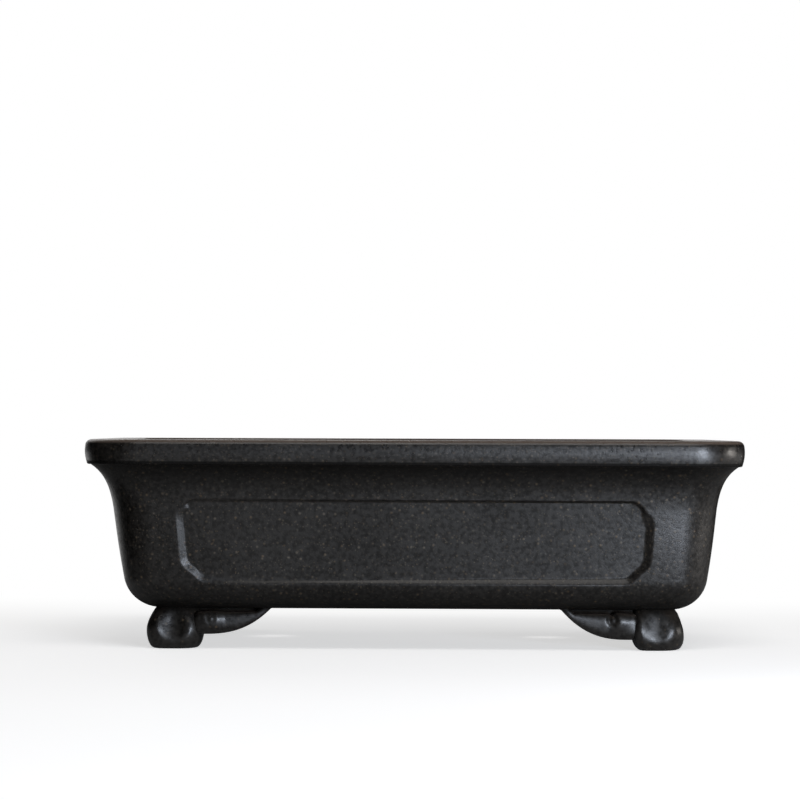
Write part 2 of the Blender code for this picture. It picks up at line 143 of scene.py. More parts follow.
# Wing: a rope of clay that tapers from the paw, with a curled eye.
WING_LENGTH = 0.0306
WING_SOLE_LEVEL = 0.0058
WING_HEAD = 0.0170
WING_WEB = 0.0068
WING_WEB_SOFT = 0.0012
WING_LEAST = 0.0042
WING_CURVE = 2.6
WING_BULGE = 0.55
WING_SQUARE = 2.7
WING_PROUD = 0.0012
WING_BACK_ROUND = 0.0015
WING_HEEL_REACH = 0.0058
WING_HEEL_ROUND = 0.0040
WING_TIP_REACH = 0.0010
BOSS_ALONG = 0.0038
BOSS_LEVEL = 0.0134
BOSS_RADIUS = 0.0064
BOSS_RISE = 0.0010
EYE_LEVEL = 0.0140
EYE_RADIUS = 0.0034
EYE_TALL = 1.25
BEAD_RADIUS = 0.0017
BEAD_SHARE = 0.6

# How each foot differs, as hand work does.
DISH_DEPTH = {"front_right": 0.0015, "front_left": 0.0021, "back_right": 0.0015, "back_left": 0.0014}
EYE_ALONG = {"front_right": 0.0072, "front_left": 0.0030, "back_right": 0.0060, "back_left": 0.0050}
EYE_DEPTH = {"front_right": 0.0013, "front_left": 0.0006, "back_right": 0.0010, "back_left": 0.0009}
WING_TURN = {"front_right": 0.0, "front_left": 0.10, "back_right": 0.03, "back_left": 0.06}
PAW_CORNER = {"front_right": 0.0100, "front_left": 0.0055, "back_right": 0.0080, "back_left": 0.0070}
PAW_INNER_CORNER = {"front_right": 0.0040, "front_left": 0.0090, "back_right": 0.0050, "back_left": 0.0060}
PAW_TRIM = {"front_right": 0.0020, "front_left": 0.0004, "back_right": 0.0014, "back_left": 0.0010}
WING_FULLNESS = {"front_right": 0.0009, "front_left": -0.0009, "back_right": 0.0003, "back_left": -0.0002}

# How finely the clay is cut.
FINE = 0.00042
COARSE_ROW = 0.0020
COARSE_COLUMN = 0.0055
FADE = 0.0070
CORNER_STEPS = 20
LINE_STEPS = 400
ROUND_STEPS = 8
HOLE_STEPS = 40
DENSE_STEPS = LINE_STEPS * ROUND_STEPS
RIM_FACE_STEPS = 2 * ROUND_STEPS
RAW_MOUTH_ROWS = ROUND_STEPS // 2 + 2
FOOT_STEP = 0.00048
FOOT_MARGIN = 4 * FOOT_STEP
SETTLE_PROBE = FOOT_STEP / 4
SETTLE_ROUNDS = 2
CREASE = math.radians(40.0)

# Marks of the hand and the kiln. A wave has its radians to the metre along x, y and z, and its start.
WOBBLE = 0.00012
WAVES = (((61.0, 23.0, 0.0), 1.1), ((-19.0, 37.0, 47.0), 2.3), ((97.0, 0.0, -83.0), 0.4))
SLUMP = 0.0011
WALL_BOW = 0.0075
WALL_BOW_POWER = 8
BOW_DROP = 0.0300

# Angles of an arc in a section, where the inset grows to the right and the level upward.
QUARTER_TURN = math.pi / 2
INWARD = 0.0
UP = QUARTER_TURN
OUTWARD = 2 * QUARTER_TURN
DOWN = 3 * QUARTER_TURN

# Levels that follow from the sizes above.
INSIDE_TOP = RIM_FOOT - RIM_TONGUE / 4
NECK_LEVEL = WALL_TOP - FLARE_HEIGHT
PANEL_FOOT = FLOOR_TOP + PANEL_ABOVE_FLOOR
PANEL_HEAD = WALL_TOP - PANEL_BELOW_RIM
PANEL_MIDDLE = (PANEL_FOOT + PANEL_HEAD) / 2
PANEL_HALF_HEIGHT = (PANEL_HEAD - PANEL_FOOT) / 2

# The body's two finishes, as its faces number them, and its four sides.
OUTSIDE = 0
INSIDE = 1
SIDE_NAMES = ("front", "right", "back", "left")


def between(first, last, share):
    """What lies at a share of the way from first to last."""
    return first + (last - first) * share


def eased(share):
    """A share from 0 to 1 with soft ends."""
    return share**2 * (3.0 - 2.0 * share)


def arched(share):
    """A bow over a share: 0 at both ends, 1 in the middle."""
    return 4.0 * share * (1.0 - share)


def taper_inset(level):
    """Inset of the wall's straight, tapering part, carried on above and below it."""
    return NECK_INSET + (NECK_LEVEL - level) * math.tan(WALL_TAPER)


EDGE_CENTRE_LEVEL = UNDERSIDE + EDGE_RADIUS
EDGE_CENTRE_INSET = taper_inset(EDGE_CENTRE_LEVEL) + EDGE_RADIUS / math.cos(WALL_TAPER)


def inner_inset(level):
    """Inset of the inner face: parallel to the taper up to the neck, then leaning out to the mouth."""
    below = taper_inset(np.minimum(level, NECK_LEVEL)) + WALL_THICKNESS / math.cos(WALL_TAPER)
    rise = np.maximum(level - NECK_LEVEL, 0.0) / (RIM_TOP - NECK_LEVEL)
    return between(below, RIM_BREADTH, rise)


def outer_corner(inset):
    """Corner radius of the outer face, which tightens as the wall draws in."""
    tighten = (RIM_CORNER_RADIUS - NECK_CORNER_RADIUS) / NECK_INSET
    return np.maximum(RIM_CORNER_RADIUS - tighten * inset, LEAST_CORNER_RADIUS)


def bevelled(share):
    """Runs from 0 to 1 in a straight slope with softened ends."""
    share = np.clip(share, 0.0, 1.0)
    soft = PANEL_BEVEL_SOFT
    foot = share**2 / (2 * soft)
    head = 1.0 - soft - (1.0 - share) ** 2 / (2 * soft)
    slope = np.where(share > 1.0 - soft, head, share - soft / 2)
    return np.where(share < soft, foot, slope) / (1.0 - soft)


def slumped(points):
    """Points of the pot leaned a little to the right below its rim, as it set in the kiln."""
    lean = SLUMP * np.maximum(RIM_FOOT - points[..., 2], 0.0) / RIM_FOOT
    return points + lean[..., None] * np.array((1.0, 0.0, 0.0))


def bowed(points):
    """Points of the long walls drawn in a little towards the corners, below the flare."""
    share = np.abs(points[..., 0]) / HALF_LENGTH
    below = np.clip((WALL_TOP - points[..., 2]) / BOW_DROP, 0.0, 1.0)
    draw = WALL_BOW * eased(below) * share**WALL_BOW_POWER
    drawn = points.copy()
    drawn[..., 1] -= np.sign(points[..., 1]) * draw
    return drawn


def arc(centre, radius, start, end, steps=ROUND_STEPS):
    """Points of an arc, with angles in radians."""
    turn = np.linspace(start, end, steps + 1)
    return np.stack([centre[0] + radius * np.cos(turn), centre[1] + radius * np.sin(turn)], axis=1)


def bezier(*pulls):
    """Points of a cubic curve through its two ends."""
    t = np.linspace(0.0, 1.0, LINE_STEPS)[:, None]
    a, b, c, d = (np.array(p) for p in pulls)
    return (1 - t) ** 3 * a + 3 * (1 - t) ** 2 * t * b + 3 * (1 - t) * t**2 * c + t**3 * d


def paced(line, pace):
    """A line laid out again with its points as far apart as pace says."""
    lengths = np.append(0.0, np.cumsum(np.linalg.norm(np.diff(line, axis=0), axis=1)))
    walk = np.linspace(0.0, lengths[-1], DENSE_STEPS)
    dense = np.stack([np.interp(walk, lengths, values) for values in line.T], axis=1)
    count = np.append(0.0, np.cumsum(np.diff(walk) / pace(dense[1:])))
    places = np.interp(np.linspace(0.0, count[-1], math.ceil(count[-1]) + 1), count, walk)
    return np.stack([np.interp(places, lengths, values) for values in line.T], axis=1)


def rounded_box_distance(u, v, half_u, half_v, radius):
    """Distance from a rectangle with rounded corners, below nought inside it."""
    past_u = np.abs(u) - half_u + radius
    past_v = np.abs(v) - half_v + radius
    outside = np.hypot(np.maximum(past_u, 0.0), np.maximum(past_v, 0.0))
    return outside + np.minimum(np.maximum(past_u, past_v), 0.0) - radius


def panel_half_length(half_run):
    """Half of a panel's length at its middle height."""
    return half_run - taper_inset(PANEL_MIDDLE) - PANEL_MARGIN


def panel_depth(along, half):
    """Depth of a panel's floor, a little less at its left end than at its right."""
    return PANEL_DEPTH + PANEL_SLANT * np.clip(along / half, -1.0, 1.0)


def bevel_width(along, across, rise, half):
    """Width of a panel's bevel: gentle at the left end, narrow at the head."""
    nearer_end = PANEL_HALF_HEIGHT + rise - half + across
    gentle = np.where(along < 0.0, np.interp(nearer_end, [-2 * PANEL_CUT, -PANEL_CUT], [0.0, 1.0]), 0.0)
    width = panel_depth(along, half) * between(PANEL_BEVEL_RUN, PANEL_LEFT_RUN, gentle)
    narrow_drop = PANEL_CUT * np.where(along < 0.0, PANEL_LEFT_NARROW, 1.0)
    below_head = (PANEL_HALF_HEIGHT - rise) / narrow_drop
    near_head = np.clip(PANEL_HEAD_FADE * (1.0 - below_head), 0.0, 1.0)
    return between(width, PANEL_HEAD_BEVEL, near_head)


def panel_distance(along, across, rise, half):
    """Distance from a panel's outline, below nought inside it: each corner is cut, with a small cusp."""
    past_end = across - half
    past_side = np.abs(rise) - PANEL_HALF_HEIGHT
    beside = np.abs(past_end - past_side) / DIAGONAL
    cusp = PANEL_CUSP * np.maximum(1.0 - beside / PANEL_CUSP_REACH, 0.0)
    cut = np.where((along < 0.0) & (rise > 0.0), PANEL_LEFT_HEAD_CUT, PANEL_CUT)
    past_cut = (past_end + past_side + cut) / DIAGONAL + cusp
    return soft_most(np.maximum(past_end, past_side), past_cut, PANEL_CUT_SOFT)


def panel_share(along, level, half_run):
    """How far a point of a wall is let into its panel: 0 on the frame, 1 on the panel's floor."""
    rise = level - PANEL_MIDDLE
    across = np.abs(along) - rise * PANEL_LEAN
    half = panel_half_length(half_run)
    return bevelled(-panel_distance(along, across, rise, half) / bevel_width(along, across, rise, half))


def panel_dent(along, inset, level, half_run):
    """How much deeper a wall lies in its panel, whose floor is a little dished."""
    hollow = PANEL_DISH * np.maximum(1.0 - ((level - PANEL_MIDDLE) / PANEL_HALF_HEIGHT) ** 2, 0.0)
    depth = panel_depth(along, panel_half_length(half_run)) / math.cos(WALL_TAPER)
    sunk = np.maximum(taper_inset(level) + depth + hollow - inset, PANEL_LEAST_DEPTH)
    return panel_share(along, level, half_run) * sunk


def hand_wobble(points):
    """The small waves that a hand leaves in clay, always inward."""
    waves = sum(np.sin(points @ np.array(turns) + start) for turns, start in WAVES)
    return WOBBLE * (1.0 + waves / len(WAVES))


def run_stations(half_run, straight, fine):
    """Shares of a side's straight run, from one end to the other, close together at the panel's ends."""
    end = panel_half_length(half_run) - PANEL_CUT / 2
    reach = PANEL_CUT / 2 + PANEL_CUT_SOFT

    def pace(line):
        away = np.abs(line[:, 0] - end) - reach
        return np.interp(away, [0.0, FADE], [fine, COARSE_COLUMN])

    half = paced(np.array([(0.0, 0.0), (straight, 0.0)]), pace)[:, 0] / straight
    return np.concatenate([-half[:0:-1], half])


SIDES = (((1, 0), (0, -1)), ((0, 1), (1, 0)), ((-1, 0), (0, 1)), ((0, -1), (-1, 0)))


def swept_round(section, fine, dent=None):
    """Points of a section carried round the pot: one row for each (inset, level, corner radius)."""
    inset, level, radius = (section[:, [k]] for k in range(3))
    blocks = []
    for along, out in SIDES:
        along, out = np.array(along, float), np.array(out, float)
        half_run, half_span = np.abs((HALF_LENGTH, HALF_WIDTH) @ np.stack([along, out]).T)
        typical = half_run - taper_inset(PANEL_MIDDLE) - outer_corner(taper_inset(PANEL_MIDDLE))
        share = run_stations(half_run, typical, fine)[None]
        straight = half_run - inset - radius
        depth = half_span - inset
        if dent:
            depth = depth - dent(share * straight, inset, level, half_run)
        flat = (share * straight)[..., None] * along + (depth + 0.0 * share)[..., None] * out
        turn = np.linspace(0.0, QUARTER_TURN, CORNER_STEPS + 1)[None, 1:-1]
        over = straight + radius * np.sin(turn)
        away = half_span - inset - radius + radius * np.cos(turn)
        blocks.append(np.concatenate([flat, over[..., None] * along + away[..., None] * out], axis=1))
    plan = np.concatenate(blocks, axis=1)
    points = np.concatenate([plan, np.broadcast_to(level[..., None], plan.shape[:2] + (1,))], axis=2)
    outward = plan / np.linalg.norm(plan, axis=2, keepdims=True)
    points[..., :2] -= outward * hand_wobble(points)[..., None]
    return slumped(points)


def strip_faces(rows, columns, closed):
    """Quads between rows of points that run round the pot."""
    row = np.arange(rows if closed else rows - 1)[:, None]
    column = np.arange(columns)[None]
    above = (row + 1) % rows * columns
    after = (column + 1) % columns
    here = row * columns
    return np.stack([here + column, here + after, above + after, above + column], axis=2).reshape(-1, 4)


def clay_piece(name, points, faces, finishes, nodes):
    """A named clay piece that stands for its nodes and takes its finish from a slot."""
    mesh = bpy.data.meshes.new(name)
    mesh.from_pydata(points.tolist(), [], faces.tolist())
    return shown_piece(name, mesh, finishes, nodes)


def shown_piece(name, mesh, finishes, nodes):
    """Puts a mesh in the scene as a piece of the pot."""
    mesh.shade_smooth()
    mesh.set_sharp_from_angle(angle=CREASE)
    for finish in finishes:
        mesh.materials.append(finish)
    piece = bpy.data.objects.new(name, mesh)
    bpy.context.scene.collection.objects.link(piece)
    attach(piece, BODY)
    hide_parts(*nodes)
    return piece


def wall_line():
    """The outside of the wall as (inset, level), from the underside's flat up to the rim's foot."""
    centre = (EDGE_CENTRE_INSET, EDGE_CENTRE_LEVEL)
    edge = arc(centre, EDGE_RADIUS, DOWN, OUTWARD + WALL_TAPER, LINE_STEPS)
    low = np.array((NECK_INSET, NECK_LEVEL))
    share = np.linspace(0.0, 1.0, LINE_STEPS)[1:-1, None]
    belly = between(edge[-1], low, share) - np.array((WALL_BULGE, 0.0)) * arched(share)
    high = np.array((RIM_OVERHANG, WALL_TOP))
    low_pull = low + FLARE_LOWER_PULL * np.array((-math.sin(WALL_TAPER), math.cos(WALL_TAPER)))
    high_pull = high + FLARE_UPPER_PULL * np.array((math.cos(FLARE_LIFT), -math.sin(FLARE_LIFT)))
    return np.concatenate([edge, belly, bezier(low, low_pull, high_pull, high)])


def row_pace(line):
    """Spacing of a wall's rows: close at the panel's head and foot."""
    away = np.abs(np.abs(line[:, 1] - PANEL_MIDDLE) - PANEL_HALF_HEIGHT + PANEL_CUT / 2)
    return np.interp(away - PANEL_CUT / 2 - PANEL_CUT_SOFT, [0.0, FADE], [FINE, COARSE_ROW])


def inside_line():
    """The inside of the pot as (inset, level), from the rim's foot down to the floor."""
    fillet_top = FLOOR_TOP + SEAM_FILLET
    levels = np.array((INSIDE_TOP, NECK_LEVEL, fillet_top))
    wall = np.stack([inner_inset(levels), levels], axis=1)
    centre = (inner_inset(fillet_top) + SEAM_FILLET, fillet_top)
    return np.concatenate([wall, arc(centre, SEAM_FILLET, OUTWARD, DOWN)[1:]])


def inside_corner(line):
    """Corner radius of the inside, which tightens over the fillet."""
    inward = np.maximum(line[:, 0] - inner_inset(line[:, 1]), 0.0)
    return np.maximum(INNER_CORNER_RADIUS - inward, LEAST_CORNER_RADIUS)


def hole_rows(centre, radius):
    """Rings of a hole through the floor with worn lips, from the top down."""
    turn = np.linspace(0.0, QUARTER_TURN, ROUND_STEPS + 1)
    wide = radius + HOLE_LIP * (1.0 - np.sin(turn))
    drop = HOLE_LIP * (1.0 - np.cos(turn))
    rings = list(zip(wide, FLOOR_TOP - drop)) + list(zip(wide[::-1], UNDERSIDE + drop[::-1]))
    around = np.linspace(0.0, 2.0 * math.pi, HOLE_STEPS, endpoint=False)
    rows = [np.stack([centre[0] + r * np.cos(around), centre[1] + r * np.sin(around),
                      np.full(HOLE_STEPS, z)], axis=1) for r, z in rings]
    return np.stack(rows)


def make_pot(outside, inside):
    """Floor and walls as one fired body, with sunken panels, a filleted inside and holes in the floor."""
    outer = paced(wall_line(), row_pace)
    inner = paced(inside_line(), lambda line: np.full(len(line), COARSE_ROW))
    tongue_level = RIM_FOOT + RIM_TONGUE
    tongue = np.array(((RIM_OVERHANG, tongue_level), (inner[0, 0] - RIM_TONGUE, tongue_level)))
    outer_part = np.column_stack([outer, outer_corner(outer[:, 0])])
    tongue_part = np.column_stack([tongue, (outer_part[-1, 2], INNER_CORNER_RADIUS + RIM_TONGUE)])
    inner_part = np.column_stack([inner, inside_corner(inner)])
    skins = [swept_round(outer_part, FINE, panel_dent)]
    skins += [swept_round(part, FINE) for part in (tongue_part, inner_part)]
    points = bowed(np.concatenate(skins))
    rows, columns = points.shape[:2]
    points[0, :, 2] = UNDERSIDE
    points[-1, :, 2] = FLOOR_TOP
    bm = bmesh.new()
    grid = [[bm.verts.new(p) for p in row] for row in points]
    outer_rows = len(outer) + 1
    for r in range(rows - 1):
        for c in range(columns):
            after = (c + 1) % columns
            face = bm.faces.new((grid[r][c], grid[r][after], grid[r + 1][after], grid[r + 1][c]))
            face.material_index = INSIDE if r >= outer_rows else OUTSIDE
    floor_edges = [grid[-1]]
    under_edges = [grid[0]]
    drains = [(sign * DRAIN_REACH, 0.0) for sign in (-1, 1)]
    wires = [(sx * WIRE_REACH.x, sy * WIRE_REACH.y) for sx in (-1, 1) for sy in (-1, 1)]
    for centres, radius in ((drains, DRAIN_RADIUS), (wires, WIRE_RADIUS)):
        for centre in centres:
            tunnel = [[bm.verts.new(p) for p in ring] for ring in hole_rows(centre, radius)]
            for upper, lower in zip(tunnel, tunnel[1:]):
                for c in range(HOLE_STEPS):
                    after = (c + 1) % HOLE_STEPS
                    face = bm.faces.new((upper[c], upper[after], lower[after], lower[c]))
                    face.material_index = INSIDE
            floor_edges.append(tunnel[0])
            under_edges.append(tunnel[-1])
    for loops, up, index in ((floor_edges, 1.0, INSIDE), (under_edges, -1.0, OUTSIDE)):
        edges = []
        for loop in loops:
            edges += [bm.edges.get((a, b)) for a, b in zip(loop, loop[1:] + loop[:1])]
        filled = bmesh.ops.triangle_fill(bm, use_beauty=True, edges=edges, normal=(0.0, 0.0, up))
        for face in filled["geom"]:
            if isinstance(face, bmesh.types.BMFace):
                face.material_index = index
    bmesh.ops.recalc_face_normals(bm, faces=bm.faces)
    mesh = bpy.data.meshes.new("pot_body_clay")
    bm.to_mesh(mesh)
    bm.free()
    nodes = ["floor_slab"]
    nodes += [f"{side}_wall" for side in SIDE_NAMES]
    nodes += [f"{side}_seam_coil" for side in SIDE_NAMES]
    return shown_piece("pot_body_clay", mesh, (outside, inside), nodes)


def rim_line():
    """Closed section of the rim band: a bulging face, rounded edges, a level top and a rounded mouth."""
    middle = (RIM_FOOT + RIM_TOP) / 2
    half = (RIM_TOP - RIM_FOOT) / 2
    low = RIM_FOOT - RIM_SKIRT + RIM_LOWER_ROUND
    high = RIM_TOP - RIM_EDGE_RADIUS
    levels = np.linspace(low, high, RIM_FACE_STEPS)
    face = np.stack([RIM_FACE_BULGE * ((levels - middle) / half) ** 2, levels], axis=1)
    foot = arc((face[0, 0] + RIM_LOWER_ROUND, low), RIM_LOWER_ROUND, DOWN, OUTWARD)
    head = arc((face[-1, 0] + RIM_EDGE_RADIUS, high), RIM_EDGE_RADIUS, OUTWARD, UP)
    mouth_centre = (RIM_BREADTH - RIM_MOUTH_RADIUS, RIM_TOP - RIM_MOUTH_RADIUS)
    mouth = arc(mouth_centre, RIM_MOUTH_RADIUS, UP, INWARD)
    inner_foot = np.array([(inner_inset(RIM_FOOT), RIM_FOOT)])
    outer = np.concatenate([foot, face[1:-1], head])
    inner = np.concatenate([mouth, inner_foot])
    inner_radius = INNER_CORNER_RADIUS + np.maximum(RIM_BREADTH - inner[:, 0], 0.0)
    return np.concatenate([np.column_stack([outer, outer_corner(outer[:, 0])]),
                           np.column_stack([inner, inner_radius])])


def rim_droop(points):
    """How much lower the rim's top lies than at its highest corner, the right one at the back."""
    right, back = ((points[..., k] / half + 1.0) / 2 for k, half in enumerate((HALF_LENGTH, HALF_WIDTH)))
    left_side = between(*RIM_DROOP_LEFT, back)
    right_side = between(*RIM_DROOP_RIGHT, back)
    share = np.clip((points[..., 2] - RIM_FOOT) / (RIM_TOP - RIM_FOOT), 0.0, 1.0)
    return share * between(left_side, right_side, right)


def make_rim(finish, inside):
    """The rim band, luted on as strips and smoothed into one ring, raw inside its mouth."""
    points = swept_round(rim_line(), COARSE_ROW)
    points[..., 2] -= rim_droop(points)
    rows, columns = points.shape[:2]
    faces = strip_faces(rows, columns, closed=True)
    nodes = [f"{side}_rim_strip" for side in SIDE_NAMES]
    band = clay_piece("rim_band_clay", points.reshape(-1, 3), faces, (finish, inside), nodes)
    in_mouth = np.arange(len(faces)) // columns >= rows - RAW_MOUTH_ROWS
    band.data.polygons.foreach_set("material_index", in_mouth.astype(np.int32))


def soft_least(a, b, blend):
    """The lesser of two fields, melted together where they meet."""
    share = np.clip(0.5 + 0.5 * (b - a) / blend, 0.0, 1.0)
    return b + (a - b) * share - blend * share * (1.0 - share)


def soft_most(a, b, blend):
    """The greater of two fields, melted together where they meet."""
    return -soft_least(-a, -b, blend)


def rounded_meet(a, b, radius):
    """What lies inside both fields, with a round edge where they meet."""
    past_a, past_b = a + radius, b + radius
    outside = np.hypot(np.maximum(past_a, 0.0), np.maximum(past_b, 0.0))
    return outside + np.minimum(np.maximum(past_a, past_b), 0.0) - radius


def pressed(field, low, high):
    """Points and quads of the clay's skin, where a field of distances passes through nought."""
    axes = [np.arange(a, b + FOOT_STEP, FOOT_STEP) for a, b in zip(low, high)]
    places = np.stack(np.meshgrid(*axes, indexing="ij"), axis=-1)
    values = field(places)
    cells = tuple(n - 1 for n in values.shape)
    total = np.zeros(cells + (3,))
    count = np.zeros(cells)
    for axis in range(3):
        for sides in np.ndindex(2, 2):
            shift = list(sides)
            shift.insert(axis, 0)
            begin = tuple(slice(s, s + n) for s, n in zip(shift, cells))
            shift[axis] = 1
            end = tuple(slice(s, s + n) for s, n in zip(shift, cells))
            crossed = (values[begin] < 0) != (values[end] < 0)
            fall = np.where(crossed, values[begin] - values[end], 1.0)
            share = np.where(crossed, values[begin] / fall, 0.0)[..., None]
            total += crossed[..., None] * (places[begin] + share * (places[end] - places[begin]))
            count += crossed
    kept = count > 0
    number = np.full(cells, -1)
    number[kept] = np.arange(kept.sum())
    points = total[kept] / count[kept][:, None]
    quads = []
    for axis in range(3):
        first, second = (axis + 1) % 3, (axis + 2) % 3
        begin, end = [slice(1, -1)] * 3, [slice(1, -1)] * 3
        begin[axis], end[axis] = slice(0, -1), slice(1, None)
        inside = values[tuple(begin)] < 0
        crossed = inside != (values[tuple(end)] < 0)
        base = np.argwhere(crossed)
        base[:, [first, second]] += 1
        ring = []
        for back_first, back_second in ((1, 1), (0, 1), (0, 0), (1, 0)):
            cell = base.copy()
            cell[:, first] -= back_first
            cell[:, second] -= back_second
            ring.append(number[tuple(cell.T)])
        ring = np.stack(ring, axis=1)
        quads.append(np.where(inside[crossed][:, None], ring, ring[:, ::-1]))
    return settled(field, points), np.concatenate(quads)


def settled(field, points):
    """Points moved on to the skin itself."""
    for _ in range(SETTLE_ROUNDS):
        rises = [field(points + step) - field(points - step) for step in SETTLE_PROBE * np.eye(3)]
        slope = np.stack(rises, axis=-1) / (2 * SETTLE_PROBE)
        points = points - (field(points) / (slope**2).sum(axis=-1))[:, None] * slope
    return points


PAW_HALF = (PAW_HIGH.x - PAW_LOW.x) / 2
PAW_CENTRE = (PAW_LOW + PAW_HIGH) / 2


def paw_draw(level):
    """How far a paw draws in at a level: round to the sole, and to the neck."""
    below = np.clip((PAW_BELLY_LEVEL - level) / PAW_BELLY_LEVEL, 0.0, 1.0)
    above = np.clip((level - PAW_BELLY_LEVEL) / (UNDERSIDE - PAW_BELLY_LEVEL), 0.0, None)
    return PAW_SOLE_DRAW * (1.0 - np.sqrt(1.0 - below**2)), PAW_NECK_DRAW * above**PAW_NECK_POWER


def thumbed(distance, radius):
    """The mark of a thumb: 1 in its middle, smoothly down to 0 at its radius."""
    return np.clip(1.0 - (distance / radius) ** 2, 0.0, 1.0) ** 2


def paw_field(trim, outer_round, inner_round, dish_depth):
    """A paw about its own middle: x to the outer end, y to the outer side, z up."""

    def field(points):
        x, y, level = (points[..., k] for k in range(3))
        sole, neck = paw_draw(level)
        inset = sole + neck + PAW_OUTER_TRIM
        inner = sole + PAW_INNER_SHARE * neck + trim
        shift = (inner - inset) / 2
        half = PAW_HALF - (inner + inset) / 2
        corner = np.where((x > shift) & (y > shift), outer_round, inner_round)
        clay = rounded_box_distance(x - shift, y - shift, half, half, corner)
        clay = soft_most(clay, -level, PAW_SOFT)
        clay = soft_most(clay, level - FOOT_HEAD, PAW_SOFT)
        for out, along in ((x, y), (y, x)):
            reach = np.hypot(along, level - DISH_LEVEL)
            clay = clay + np.where(out > 0.0, dish_depth * thumbed(reach, DISH_RADIUS), 0.0)
        return clay

    return field


def wing_field(fullness, turn, eye_along, eye_depth):
    """A wing with x from its heel to its tip, y outward from its face, z up."""
    depth = WING_HIGH.y - WING_LOW.y
    sole = WING_SOLE_LEVEL - fullness

    def field(points):
        along, out, level = (points[..., k] for k in range(3))
        out = out + turn * np.maximum(along, 0.0)
        share = np.clip(along / WING_LENGTH, 0.0, 1.0)
        low = between(sole, UNDERSIDE, share**WING_CURVE)
        head = np.maximum(WING_HEAD, low + WING_LEAST)
        half = (head - low) / 2
        bulge = WING_BULGE * half
        rise = (level - low) / half - 1.0
        forward = np.maximum(out + bulge, 0.0) / bulge
        rope = ((np.abs(rise) ** WING_SQUARE + forward**WING_SQUARE) ** (1.0 / WING_SQUARE) - 1.0) * bulge
        rope = rope - BOSS_RISE * thumbed(np.hypot(along - BOSS_ALONG, level - BOSS_LEVEL), BOSS_RADIUS)
        reach = np.hypot(along - eye_along, (level - EYE_LEVEL) / EYE_TALL)
        rope = rope + eye_depth * (thumbed(reach, EYE_RADIUS) - BEAD_SHARE * thumbed(reach, BEAD_RADIUS))
        web = np.maximum(np.maximum(out + WING_WEB, low + half - level), level - FOOT_HEAD)
        clay = soft_least(rope, web, WING_WEB_SOFT)
        clay = rounded_meet(clay, -out - depth, WING_BACK_ROUND)
        clay = soft_most(clay, along - WING_LENGTH - WING_TIP_REACH, PAW_SOFT)
        return rounded_meet(clay, -along - WING_HEEL_REACH, WING_HEEL_ROUND)

    return field


def placed(points, faces, origin, axes):
    """Points taken from a foot's own axes to the pot's, with the faces kept outward."""
    axes = np.array(axes, float)
    if np.linalg.det(axes) < 0:
        faces = faces[:, ::-1]
    return slumped(np.array(origin) + points @ axes), faces


def foot_piece(corner, kind, shape, origin, along, out, finish):
    """A paw or wing set under its corner, with its own first two axes laid along and outward."""
    points, faces = placed(*shape, origin, (along, out, (0, 0, 1)))
    clay_piece(f"{corner}_{kind}_clay", points, faces, (finish,), [f"{corner}_{kind}"])


def make_feet(finish):
    """A paw and two wings under each corner."""
    half = PAW_HALF + FOOT_MARGIN
    head = FOOT_HEAD + FOOT_MARGIN
    heel_x = WING_HIGH.x
    face_y = WING_PROUD - WING_LOW.y
    wing_depth = WING_HIGH.y - WING_LOW.y
    outer_x = PAW_CENTRE.x + (face_y + PAW_CENTRE.y)
    heel_y = -PAW_CENTRE.y - (PAW_CENTRE.x - heel_x)
    for corner, fullness in WING_FULLNESS.items():
        side = -1.0 if corner.startswith("front") else 1.0
        end = 1.0 if corner.endswith("right") else -1.0
        rounds = (PAW_CORNER[corner], PAW_INNER_CORNER[corner])
        paw_shape = paw_field(PAW_TRIM[corner], *rounds, DISH_DEPTH[corner])
        paw = pressed(paw_shape, (-half, -half, -FOOT_MARGIN), (half, half, head))
        middle = (end * PAW_CENTRE.x, side * -PAW_CENTRE.y, 0.0)
        foot_piece(corner, "paw", paw, middle, (end, 0, 0), (0, side, 0), finish)
        wing_shape = wing_field(fullness, WING_TURN[corner], EYE_ALONG[corner], EYE_DEPTH[corner])
        behind = -wing_depth - WING_TURN[corner] * WING_LENGTH - FOOT_MARGIN
        low = (-WING_HEEL_REACH - FOOT_MARGIN, behind, 0.0)
        high = (WING_LENGTH + WING_TIP_REACH + FOOT_MARGIN, BOSS_RISE + FOOT_MARGIN, head)
        wing = pressed(wing_shape, low, high)
        heel = (end * heel_x, side * face_y, 0.0)
        foot_piece(corner, "wing", wing, heel, (-end, 0, 0), (0, side, 0), finish)
        end_heel = (end * outer_x, side * heel_y, 0.0)
        foot_piece(corner, "end_wing", wing, end_heel, (0, -side, 0), (end, 0, 0), finish)


class Wire:
    """A value in a finish's node tree, on which Python's own operators work."""

    def __init__(self, tree, socket):
        self.tree = tree
        self.socket = socket

    def maths(self, operation, first, second):
        """What a Math node makes of two values."""
        sockets = {"Value": first, "Value_001": second}
        return self.tree.node("ShaderNodeMath", {"operation": operation}, sockets)["Value"]

    def __add__(self, other):
        return self.maths("ADD", self, other)

    def __radd__(self, other):
        return self.maths("ADD", other, self)

    def __sub__(self, other):
        return self.maths("SUBTRACT", self, other)

    def __rsub__(self, other):
        return self.maths("SUBTRACT", other, self)

    def __mul__(self, other):
        return self.maths("MULTIPLY", self, other)

    def __rmul__(self, other):
        return self.maths("MULTIPLY", other, self)

    def __gt__(self, other):
        return self.maths("GREATER_THAN", self, other)

    def most(self, other):
        """The greater of two values."""
        return self.maths("MAXIMUM", self, other)

    def ramp(self, low, high):
        """0 at low, 1 at high, with soft ends."""
        sockets = {"Value": self, "From Min": low, "From Max": high}
        settings = {"interpolation_type": "SMOOTHSTEP"}
        return self.tree.node("ShaderNodeMapRange", settings, sockets)["Result"]

    def swing(self):
        """A value from 0 to 1, taken about its middle."""
        return self - 0.5

    def part(self, name):
        """One number of a vector."""
        return self.tree.node("ShaderNodeSeparateXYZ", {}, {"Vector": self})[name]


